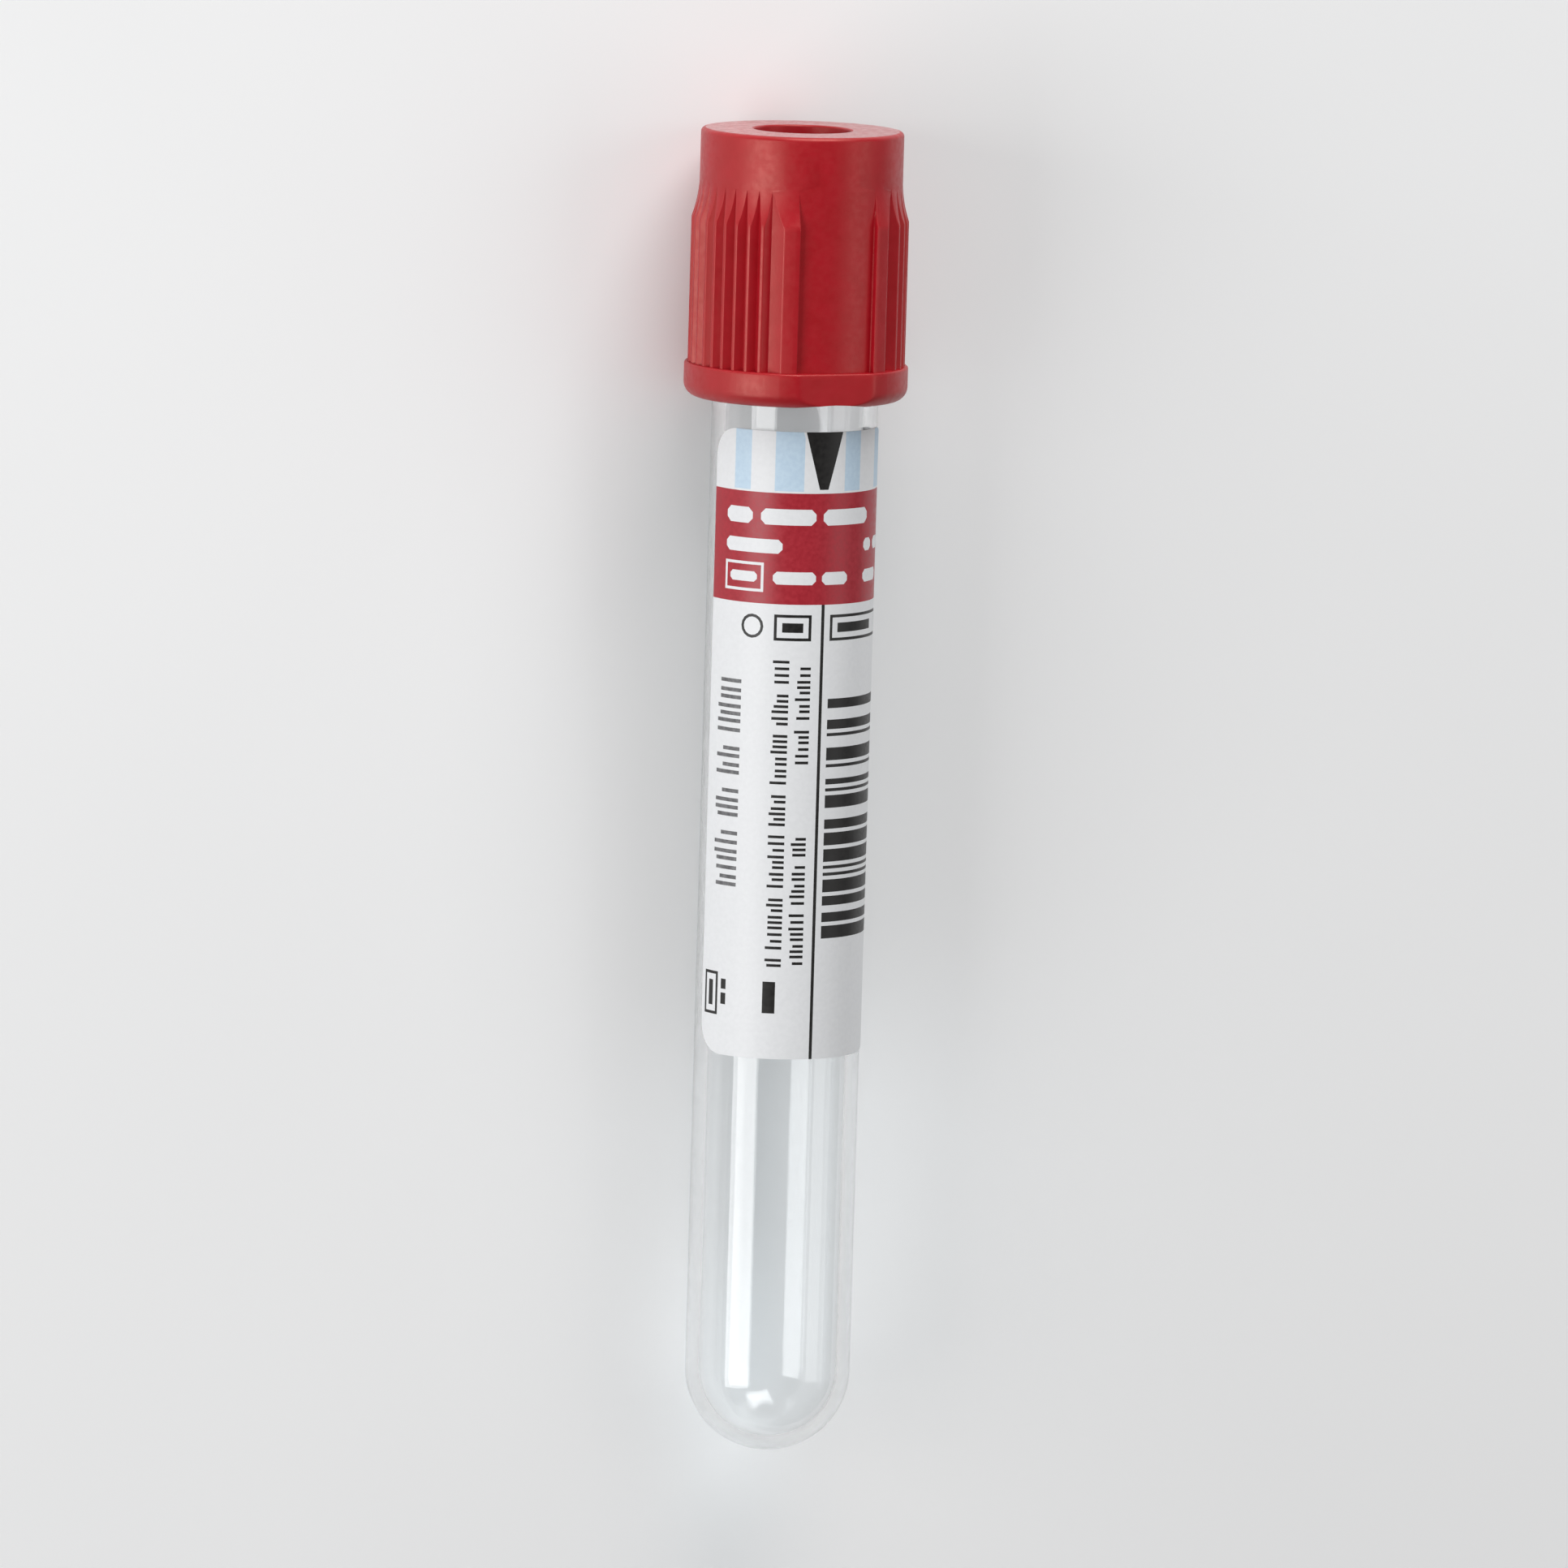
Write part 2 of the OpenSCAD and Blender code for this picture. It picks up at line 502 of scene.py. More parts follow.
RED_PLASTIC = MouldedPlastic("red_plastic", (0.37, 0.002, 0.010), (0.4, 0.003, 0.013), (1, 0.55, 0.46))
RED_POLISHED = replace(RED_PLASTIC, name="red_plastic_polished", roughness=0.17, texture_depth_mm=0.0012)
STOPPER_RUBBER = MouldedRubber("stopper_rubber", (0.09, 0.006, 0.006), (0.14, 0.012, 0.011))
CLEAR_PLASTIC = ClearPlastic("clear_plastic", (0.965, 0.975, 0.98), (0.8, 0.82, 0.83))
Finish = MouldedPlastic | MouldedRubber | ClearPlastic | PrintedPaper


class Ink(Enum):
    """What a patch of the label is printed with. The last one is the paper's back and edge."""

    BARE = PrintedPaper("label_paper", (0.80, 0.81, 0.825), (0.83, 0.84, 0.855))
    RED = PrintedPaper("label_red_ink", (0.36, 0.016, 0.028), (0.42, 0.022, 0.036), 0.36)
    PALE_BLUE = PrintedPaper("label_pale_blue_ink", (0.53, 0.68, 0.82), (0.58, 0.73, 0.86))
    BLACK = PrintedPaper("label_black_ink", (0.009, 0.008, 0.008), (0.016, 0.015, 0.014), 0.4)
    GREY = PrintedPaper("label_grey_ink", (0.10, 0.10, 0.105), (0.2, 0.2, 0.205), 0.5)
    BACK = PrintedPaper("label_back", (0.66, 0.665, 0.67), (0.72, 0.725, 0.73), 0.6)


# ---------------------------------------------------------------- pieces


@dataclass
class Piece:
    """A piece of the tube: how it is shaped, dressed and hung on the frame."""

    node: ClassVar[str] = ""
    body: ClassVar[str] = ""
    slot: ClassVar[str] = ""
    finishes: ClassVar[tuple[Finish, ...]] = ()

    def shape(self) -> bpy.types.Object:
        """Models the piece upright, in millimetres."""
        raise NotImplementedError

    def dress(self, piece: bpy.types.Object) -> None:
        """Gives the piece its finishes."""
        for finish in self.finishes:
            piece.data.materials.append(finish.material())

    def build(self, rest: Rest) -> bpy.types.Object:
        """Models, dresses and lays down the piece, in place of its CAD node.

        Args:
            rest: how the tube lies.

        Returns:
            The finished piece.
        """
        piece = self.shape()
        self.dress(piece)
        rest.lay(piece)
        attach(piece, self.body)
        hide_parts(self.node)
        log.info("%s: %d faces on %s", piece.name, len(piece.data.polygons), self.body)
        return piece


@dataclass
class ClearTube(Piece):
    """The clear tube: a round bottom, a straight wall and a mouth with rounded edges."""

    node: ClassVar[str] = "tube"
    body: ClassVar[str] = "barrel"
    slot: ClassVar[str] = "clear_plastic"
    finishes: ClassVar[tuple[Finish, ...]] = (CLEAR_PLASTIC,)

    radius: float = 6.5
    wall: float = 1.1
    length: float = 100.0
    mouth_round: float = 0.2
    facets: int = 144

    def shape(self) -> bpy.types.Object:
        """Cuts a ball in half, draws its rim up to the mouth and gives it a wall.

        Returns:
            The piece, upright in millimetres.
        """
        bpy.ops.mesh.primitive_uv_sphere_add(
            segments=self.facets, ring_count=self.facets // 2, radius=self.radius,
            location=(0, 0, self.radius))
        piece = new_piece("clear_tube")
        bpy.ops.object.transform_apply(location=True, rotation=True, scale=True)
        open_mesh(piece)
        pick_points(piece, lambda co: co.z > self.radius + NEAR)
        bpy.ops.mesh.delete(type="VERT")
        near_mouth = self.length - 2 * self.wall
        for low, high in ((self.radius, near_mouth), (near_mouth, self.length)):
            pick_points(piece, lambda co: co.z > low - NEAR)
            bpy.ops.mesh.extrude_region_move(TRANSFORM_OT_translate={"value": (0, 0, high - low)})
        close_mesh()
        wall = piece.modifiers.new("wall", "SOLIDIFY")
        wall.thickness = self.wall
        wall.offset = -1
        bpy.ops.object.modifier_apply(modifier=wall.name)
        open_mesh(piece)
        pick_points(piece, lambda co: co.z > self.length - NEAR)
        bpy.ops.mesh.select_mode(type="EDGE")
        mesh = bmesh.from_edit_mesh(piece.data)
        for edge in mesh.edges:
            low, high = (point.co.xy.length for point in edge.verts)
            edge.select_set(edge.select and abs(low - high) < self.wall / 2)
        bmesh.update_edit_mesh(piece.data)
        bpy.ops.mesh.bevel(offset=self.mouth_round, segments=3, affect="EDGES")
        close_mesh()
        bpy.ops.object.shade_smooth()
        weigh_normals(piece)
        return piece


@dataclass
class Stopper(Piece):
    """The rubber stopper: a flange, a plug, the needle's well and a recess below it."""

    node: ClassVar[str] = "stopper"
    body: ClassVar[str] = "closure"
    slot: ClassVar[str] = "stopper_rubber"
    finishes: ClassVar[tuple[Finish, ...]] = (STOPPER_RUBBER,)

    mouth_z: float = 100.0
    plug_radius: float = 5.35
    plug_depth: float = 10.0
    plug_lead: float = 0.7
    flange_radius: float = 7.05
    flange_height: float = 2.9
    well_radius: float = 3.4
    well_floor_radius: float = 3.1
    floor_z: float = 99.3
    septum: float = 3.6
    recess_radius: float = 3.65
    recess_top_radius: float = 2.45
    facets: int = 96

    def shape(self) -> bpy.types.Object:
        """Turns the stopper's outline.

        Returns:
            The piece, upright in millimetres.
        """
        top = self.mouth_z + self.flange_height
        foot = self.mouth_z - self.plug_depth
        under = self.floor_z - self.septum
        piece = turn("rubber_stopper", [
            Corner(0, self.floor_z),
            Corner(self.well_floor_radius, self.floor_z, 0.3),
            Corner(self.well_radius, top, 0.25),
            Corner(self.flange_radius, top, 0.3),
            Corner(self.flange_radius, self.mouth_z, 0.1),
            Corner(self.plug_radius, self.mouth_z, 0.1),
            Corner(self.plug_radius, foot + self.plug_lead, 0.25),
            Corner(self.plug_radius - self.plug_lead, foot, 0.2),
            Corner(self.recess_radius, foot, 0.2),
            Corner(self.recess_top_radius, under, 0.4),
            Corner(0, under),
        ], self.facets)
        bpy.ops.object.shade_smooth_by_angle(angle=math.radians(CREASE))
        weigh_normals(piece)
        return piece


@dataclass(frozen=True)
class Level:
    """One ring of the shield's skin.

    Args:
        z: its height.
        r: its radius where nothing is cut.
        groove: radius of the groove roots, or 0 where it has none.
        panel: radius of the two smooth panels, or 0 where it has none.
        flat: distance of the two flats from the axis, or 0 where it has none.
    """

    z: float
    r: float
    groove: float = 0.0
    panel: float = 0.0
    flat: float = 0.0


@dataclass
class Shield(Piece):
    """The ribbed shield: crown, flare, two ribbed sectors, two smooth panels and the bottom band."""

    node: ClassVar[str] = "shield"
    body: ClassVar[str] = "closure"
    slot: ClassVar[str] = "red_plastic"
    finishes: ClassVar[tuple[Finish, ...]] = (RED_PLASTIC, RED_POLISHED)

    top: float = 104.5
    height: float = 21.0
    top_wall: float = 1.6
    hole_radius: float = 3.8
    hole_lip: float = 0.15
    skirt_radius: float = 7.1
    skirt_mouth_radius: float = 7.5
    skirt_lead: float = 2.5
    bead_radius: float = 6.75
    bead_height: float = 0.6
    mouth_z: float = 100.0
    crown_radius: float = 7.92
    crown_height: float = 4.1
    crown_round: float = 0.35
    flare_height: float = 2.9
    flare_round: float = 10.0
    flare_rings: int = 14
    shoulder_ease: float = 0.006
    rib_radius: float = 8.48
    root_radius: float = 7.85
    grooves: int = 12
    pitch: float = 7.85
    end_flank: float = 8.6
    crest_width: float = 0.26
    crest_round: float = 0.05
    root_round: float = 0.07
    groove_fade: float = 0.75
    panel_foot: float = 7.86
    panel_width: float = 6.4
    panel_fillet: float = 0.12
    panel_edge: float = 0.08
    panel_end: float = 0.4
    band_radius: float = 8.75
    band_height: float = 2.7
    band_round: float = 1.1
    band_flat: float = 8.15
    ledge_round: float = 0.16
    flat_round: float = 0.09
    arch_height: float = 0.25
    arch_width: float = 5.6
    crease: float = 33.0
    foot_rings: ClassVar[tuple[float, ...]] = (0, 0.25)
    top_rings: ClassVar[tuple[float, ...]] = (2.5, 0.3)
    flat_least: ClassVar[float] = 8.0
    flat_shares: ClassVar[tuple[float, ...]] = (0.15, 0.3, 0.45, 0.6, 0.75, 0.88)
    flat_corner: ClassVar[tuple[float, ...]] = (-1.2, -0.5, 0, 0.5, 1.2)
    flat_end: ClassVar[tuple[float, ...]] = (0.2, 0.4, 0.6, 0.8)
    panel_shares: ClassVar[tuple[float, ...]] = (0.15, 0.35, 0.55, 0.75, 0.9)
    land_shares: ClassVar[tuple[float, ...]] = (0.33, 0.67)

    @property
    def foot(self) -> float:
        """Height of the shield's lower end."""
        return self.top - self.height

    @property
    def rib_foot(self) -> float:
        """Height of the ledge that the ribs stand on."""
        return self.foot + self.band_height

    @property
    def flare_top(self) -> float:
        """Height where the flare meets the crown."""
        return self.top - self.crown_height

    @property
    def rib_top(self) -> float:
        """Height where the ribs run into the flare."""
        return self.flare_top - self.flare_height

    @property
    def half_sector(self) -> float:
        """Half the angle of a ribbed sector, its wider end grooves included, in degrees."""
        return (self.grooves + 1) * self.pitch / 2 + self.end_flank

    def flare_radius(self, z: float) -> float:
        """Radius of the flare's hollow curve at a height.

        Args:
            z: the height, between the ribs' top and the crown.

        Returns:
            The radius there.
        """
        rise = self.rib_radius - self.crown_radius
        chord = math.hypot(rise, self.flare_height)
        reach = math.sqrt(self.flare_round ** 2 - chord ** 2 / 4) / chord
        centre_r = self.crown_radius + rise / 2 + reach * self.flare_height
        centre_z = self.rib_top + self.flare_height / 2 + reach * rise
        return centre_r - math.sqrt(self.flare_round ** 2 - (z - centre_z) ** 2)

    def panel_radius(self, z: float) -> float:
        """Radius of the smooth panels at a height. They run on from the crown, with a little draft."""
        share = (z - self.rib_foot) / (self.flare_top - self.rib_foot)
        return self.panel_foot + share * (self.crown_radius - self.panel_foot)

    def panel_step(self) -> list[tuple[float, float]]:
        """The step from a panel up to the ribs' radius, with its fillet and its rounded edge.

        Returns:
            For each point its distance from the panel's middle plane, and its share of the rise.
        """
        wall = self.panel_width / 2
        arcs = (
            (wall - self.panel_fillet, self.panel_foot + self.panel_fillet, self.panel_fillet, -1),
            (wall + self.panel_edge, self.rib_radius - self.panel_edge, self.panel_edge, 1),
        )
        step = []
        for aside, reach, rounding, way in arcs:
            lean = math.asin(aside / reach)
            centre = Vector((aside, math.sqrt(reach ** 2 - aside ** 2)))
            for share in (0, 1 / 3, 2 / 3, 1):
                start, end = (-lean, math.pi / 2) if way < 0 else (-math.pi / 2, lean)
                turned = start + share * (end - start)
                point = centre + rounding * Vector((math.sin(turned), way * math.cos(turned)))
                rise = (point.length - self.panel_foot) / (self.rib_radius - self.panel_foot)
                step.append((point.x, rise))
        return step

    def grip_levels(self) -> list[Level]:
        """Rings of the ribs and the flare, from the ledge up to the crown.

        Returns:
            The rings, in the order in which the skin runs through them.
        """
        heights = [self.rib_foot + rise for rise in self.foot_rings]
        heights += [self.rib_top - drop for drop in self.top_rings]
        levels = [Level(z, self.rib_radius, self.root_radius, self.panel_radius(z)) for z in heights]
        for step in range(self.flare_rings):
            share = step / self.flare_rings
            z = self.rib_top + share * self.flare_height
            r = self.flare_radius(z) - (self.shoulder_ease if step == 0 else 0)
            lift = max(0.0, (share - self.groove_fade) / (1 - self.groove_fade))
            root = self.root_radius + lift * (r - self.root_radius)
            levels.append(Level(z, r, root, self.panel_radius(z)))
        return levels

    def crown_levels(self) -> list[Level]:
        """Rings of the crown, its rounded edge, the top and the needle hole.

        Returns:
            The rings, in the order in which the skin runs through them.
        """
        r, z, edge = self.crown_radius, self.top, self.crown_round
        levels = [Level(self.flare_top, r, panel=r), Level(self.flare_top + self.panel_end, r)]
        for step in range(5):
            turn_by = math.radians(90 * step / 4)
            levels.append(Level(z - edge + edge * math.sin(turn_by), r - edge + edge * math.cos(turn_by)))
        hole, lip = self.hole_radius, self.hole_lip
        levels += [Level(z, r - edge - lip), Level(z, (r + hole) / 2), Level(z, hole + 2.5 * lip)]
        for step in range(4):
            turn_by = math.radians(30 * step)
            levels.append(Level(z - lip + lip * math.cos(turn_by), hole + lip - lip * math.sin(turn_by)))
        return levels

    def inside_levels(self) -> list[Level]:
        """Rings of the hole's wall, the stopper's seat, the bead and the skirt's inside.

        Returns:
            The rings, in the order in which the skin runs through them.
        """
        seat = self.top - self.top_wall
        skirt, bead = self.skirt_radius, self.bead_radius
        mouth, bead_height = self.mouth_z, self.bead_height
        return [
            Level(seat, self.hole_radius), Level(seat, skirt), Level(mouth, skirt), Level(mouth, bead),
            Level(mouth - bead_height, bead), Level(mouth - 2 * bead_height, skirt),
            Level(self.foot + self.skirt_lead, skirt), Level(self.foot, self.skirt_mouth_radius),
        ]

    def band_levels(self) -> list[Level]:
        """Rings of the bottom band, from its rounded lower edge up to the ledge.

        Returns:
            The rings, in the order in which the skin runs through them.
        """
        centre = self.band_radius - self.band_round
        levels = []
        for step in range(9):
            turn_by = math.radians(90 * step / 8)
            z = self.foot + self.band_round * (1 - math.cos(turn_by))
            r = centre + self.band_round * math.sin(turn_by)
            levels.append(Level(z, r, flat=min(self.band_flat, r)))
        edge = self.ledge_round
        levels.append(Level(self.rib_foot - 3 * edge, self.band_radius, flat=self.band_flat))
        for step in range(4):
            turn_by = math.radians(30 * step)
            z = self.rib_foot - edge + edge * math.sin(turn_by)
            inset = edge * (1 - math.cos(turn_by))
            levels.append(Level(z, self.band_radius - inset, flat=self.band_flat - inset))
        return levels

    def groove_places(self) -> list[tuple[float, float, float]]:
        """Where the grooves of a sector lie.

        Returns:
            For each groove its root, from the sector's middle, and how far its two flanks reach
            from the root, in degrees. The outer flank of the first and the last lies flatter.
        """
        half = self.pitch / 2
        last = self.grooves + 1
        return [
            ((groove - last / 2) * self.pitch,
             self.end_flank if groove == 0 else half,
             self.end_flank if groove == last else half)
            for groove in range(last + 1)
        ]

    def flank(self, level: Level, reach: float) -> list[Vector]:
        """Points down one flank of a groove on a ring, the groove's root along +X.

        Args:
            level: the ring.
            reach: angle from the root to the middle of the crest, in degrees.

        Returns:
            The points, from the crest's rounded edge to the rounded root.
        """
        crest = math.degrees(self.crest_width / 2 / self.rib_radius)
        way = polar(self.rib_radius, reach - crest) - Vector((self.root_radius, 0))
        full = way.length
        way.normalize()
        root = Vector((level.groove, 0))
        along = math.sqrt(level.r ** 2 - (root.x * way.y) ** 2) - root.x * way.x
        share = along / full
        edge = root + way * along
        turned = math.atan2(edge.y, edge.x) + self.crest_round * share / level.r
        top = polar(level.r, math.degrees(turned))
        start = edge - way * self.crest_round * share
        return [top, (top + start) / 4 + edge / 2, start, root + way * self.root_round * share]

    def groove_points(self, level: Level, before: float, after: float) -> list[Vector]:
        """Points across one groove on a ring, its root along +X.

        Args:
            level: the ring.
            before: how far the first flank reaches, in degrees.
            after: how far the second flank reaches, in degrees.

        Returns:
            The points, in order round the axis, laid on the ring where it has no grooves.
        """
        cut = level if level.groove else Level(level.z, self.rib_radius, self.root_radius)
        first = [Vector((point.x, -point.y)) for point in self.flank(cut, before)]
        second = self.flank(cut, after)[::-1]
        points = first + [Vector(((first[-1].x + cut.groove) / 2, 0))] + second
        return points if level.groove else [point.normalized() * level.r for point in points]

    def sector_points(self, level: Level) -> list[Vector]:
        """Points of the ribbed sector round +X on a ring.

        Args:
            level: the ring.

        Returns:
            The points, in order round the axis, both ends included.
        """
        points = []
        for root, before, after in self.groove_places():
            points.append(polar(level.r, root - before))
            for point in self.groove_points(level, before, after):
                angle = math.degrees(math.atan2(point.y, point.x))
                points.append(polar(point.length, root + angle))
        points.append(polar(level.r, self.half_sector))
        return points

    def flat_side(self, level: Level, gap: float) -> list[tuple[float, float]]:
        """Points from the middle of a flat to the next ribbed sector, on a ring of the band.

        Args:
            level: the ring.
            gap: angle from the flat's middle to the sector, in degrees.

        Returns:
            The points' radii and angles from the middle, in degrees.
        """
        corner = max(math.degrees(math.acos(min(1, level.flat / level.r))), self.flat_least)
        angles = [corner * share for share in self.flat_shares]
        angles += [corner + step for step in self.flat_corner]
        angles += [angles[-1] + share * (gap - angles[-1]) for share in self.flat_end]
        side = []
        for angle in angles:
            distance = level.flat / math.cos(math.radians(angle))
            side.append((soft_least(level.r, distance, self.flat_round), angle))
        return sorted(side, key=lambda point: point[1])

    def panel_side(self, level: Level, gap: float) -> list[tuple[float, float]]:
        """Points from the middle of a panel to the next ribbed sector, up the step between them.

        Args:
            level: the ring.
            gap: angle from the panel's middle to the sector, in degrees.

        Returns:
            The points' radii and angles from the middle, in degrees.
        """
        step = []
        for aside, rise in self.panel_step():
            radius = level.r
            reach = self.rib_radius
            if level.panel:
                radius = level.panel + rise * (level.r - level.panel)
                reach = radius
            step.append((radius, math.degrees(math.asin(aside / reach))))
        inner = level.panel or level.r
        side = [(inner, step[0][1] * share) for share in self.panel_shares]
        last = step[-1][1]
        return side + step + [(level.r, last + share * (gap - last)) for share in self.land_shares]

    def smooth_points(self, level: Level) -> list[Vector]:
        """Points between two ribbed sectors on a ring, across the panel or flat round +Y.

        Args:
            level: the ring.

        Returns:
            The points, in order round the axis, both ends left out.
        """
        gap = 90 - self.half_sector
        side = self.flat_side(level, gap) if level.flat else self.panel_side(level, gap)
        around = [(radius, -angle) for radius, angle in reversed(side)]
        around += [(level.flat or level.panel or level.r, 0.0)] + side
        return [polar(radius, 90 + angle) for radius, angle in around]

    def half_ring(self, level: Level) -> list[Vector]:
        """The points of a ribbed sector and of the panel after it, evenly spaced on a plain ring.

        Args:
            level: the ring.

        Returns:
            The points, in order round the axis.
        """
        sector, smooth = self.sector_points(level), self.smooth_points(level)
        if level.groove or level.panel or level.flat:
            return sector + smooth
        half, gap = self.half_sector, 90 - self.half_sector
        steps, gaps = len(sector) - 1, len(smooth) + 1
        angles = [2 * half * step / steps - half for step in range(steps + 1)]
        angles += [2 * gap * step / gaps + half for step in range(1, gaps)]
        return [polar(level.r, angle) for angle in angles]

    def ring(self, level: Level) -> list[Vector]:
        """All the points of one ring, lifted over the arch under each panel.

        Args:
            level: the ring.

        Returns:
            The points, in order round the axis.
        """
        half = self.half_ring(level)
        points = half + [Vector((-point.x, -point.y)) for point in half]
        arch_radius = (self.arch_width ** 2 / 4 + self.arch_height ** 2) / (2 * self.arch_height)
        placed = []
        for point in points:
            z = level.z
            if abs(point.x) < self.arch_width / 2 and z < self.foot + self.band_round:
                drop = arch_radius - math.sqrt(arch_radius ** 2 - point.x ** 2)
                z = max(z, self.foot + self.arch_height - drop)
            placed.append(Vector((point.x, point.y, z)))
        return placed

    def shape(self) -> bpy.types.Object:
        """Extrudes the skin ring by ring, from the ledge over the crown and inside to the band.

        Returns:
            The piece, upright in millimetres.
        """
        levels = self.grip_levels() + self.crown_levels() + self.inside_levels() + self.band_levels()
        first = self.ring(levels[0])
        bpy.ops.mesh.primitive_circle_add(vertices=len(first), radius=1, fill_type="NOTHING")
        piece = new_piece("ribbed_shield")
        open_mesh(piece)
        mesh = bmesh.from_edit_mesh(piece.data)
        column = mesh.verts.layers.int.new("column")
        mesh.verts.ensure_lookup_table()
        for index, place in enumerate(first):
            mesh.verts[index].co = place
            mesh.verts[index][column] = index
        bpy.ops.mesh.select_all(action="SELECT")
        for level in levels[1:] + levels[:1]:
            places = self.ring(level)
            bpy.ops.mesh.extrude_region_move()
            mesh = bmesh.from_edit_mesh(piece.data)
            column = mesh.verts.layers.int["column"]
            for point in mesh.verts:
                if point.select:
                    point.co = places[point[column]]
        bpy.ops.mesh.select_all(action="SELECT")
        bpy.ops.mesh.remove_doubles(threshold=WELD)
        bpy.ops.mesh.normals_make_consistent(inside=False)
        close_mesh()
        bpy.ops.object.shade_smooth_by_angle(angle=math.radians(self.crease))
        return piece

    def dress(self, piece: bpy.types.Object) -> None:
        """Makes it red plastic, and polishes its top face as the mould does.

        Args:
            piece: the shield, upright in millimetres.
        """
        super().dress(piece)
        for face in piece.data.polygons:
            on_top = face.center.z > self.top - NEAR and face.normal.z > LEVEL_NORMAL
            face.material_index = self.finishes.index(RED_POLISHED if on_top else RED_PLASTIC)


def polar(radius: float, angle: float) -> Vector:
    """A point in the XY plane.

    Args:
        radius: its distance from the axis.
        angle: its direction, in degrees.

    Returns:
        The point.
    """
    return Vector((radius * math.cos(math.radians(angle)), radius * math.sin(math.radians(angle))))


def soft_least(one: float, other: float, reach: float) -> float:
    """The lesser of two values, rounded where they are close.

    Args:
        one: the first value.
        other: the second value.
        reach: the difference within which the corner is rounded.

    Returns:
        The rounded lesser value.
    """
    blend = max(reach - abs(one - other), 0.0) / reach
    return min(one, other) - blend * blend * reach / 4


@dataclass(frozen=True)
class Patch:
    """A convex patch of print on the flat label, in millimetres from its middle and its top."""

    corners: tuple[tuple[float, float], ...]
    ink: Ink

    @classmethod
    def bar(
        cls, left: float, top: float, width: float, height: float, ink: Ink, cut: float = 0.0
    ) -> "Patch":
        """A plain rectangle, or a stroke with its corners cut.

        Args:
            left: its left side, from the label's middle.
            top: its upper side, down from the label's top.
            width: its width.
            height: its height.
            ink: what it is printed with.
            cut: how much of its shorter side each cut corner takes.

        Returns:
            The patch.
        """
        right, foot, cut = left + width, top + height, cut * min(width, height)
        if not cut:
            return cls(((left, top), (right, top), (right, foot), (left, foot)), ink)
        return cls((
            (left + cut, top), (right - cut, top), (right, top + cut), (right, foot - cut),
            (right - cut, foot), (left + cut, foot), (left, foot - cut), (left, top + cut),
        ), ink)

    @classmethod
    def disc(cls, across: float, down: float, radius: float, ink: Ink) -> "Patch":
        """A round dot.

        Args:
            across: its middle, from the label's middle.
            down: its middle, down from the label's top.
            radius: its radius.
            ink: what it is printed with.

        Returns:
            The patch.
        """
        angles = [math.radians(22.5 * step) for step in range(16)]
        return cls(tuple((across + radius * math.cos(a), down + radius * math.sin(a)) for a in angles), ink)

    def edges(self) -> list[tuple[Vector, Vector]]:
        """Each side's start and its direction, in order."""
        corners = [Vector(corner) for corner in self.corners]
        return [(a, b - a) for a, b in zip(corners, corners[1:] + corners[:1])]

    def spans(self) -> tuple[float, float, float, float]:
        """How far the patch reaches.

        Returns:
            Its left, right, upper and lower limits.
        """
        across = [corner[0] for corner in self.corners]
        down = [corner[1] for corner in self.corners]
        return min(across), max(across), min(down), max(down)

    def holds(self, across: float, down: float) -> bool:
        """Whether the patch holds a point, given from the label's middle and down from its top."""
        place = Vector((across, down))
        return all(way.cross(place - start) > -SLACK for start, way in self.edges())


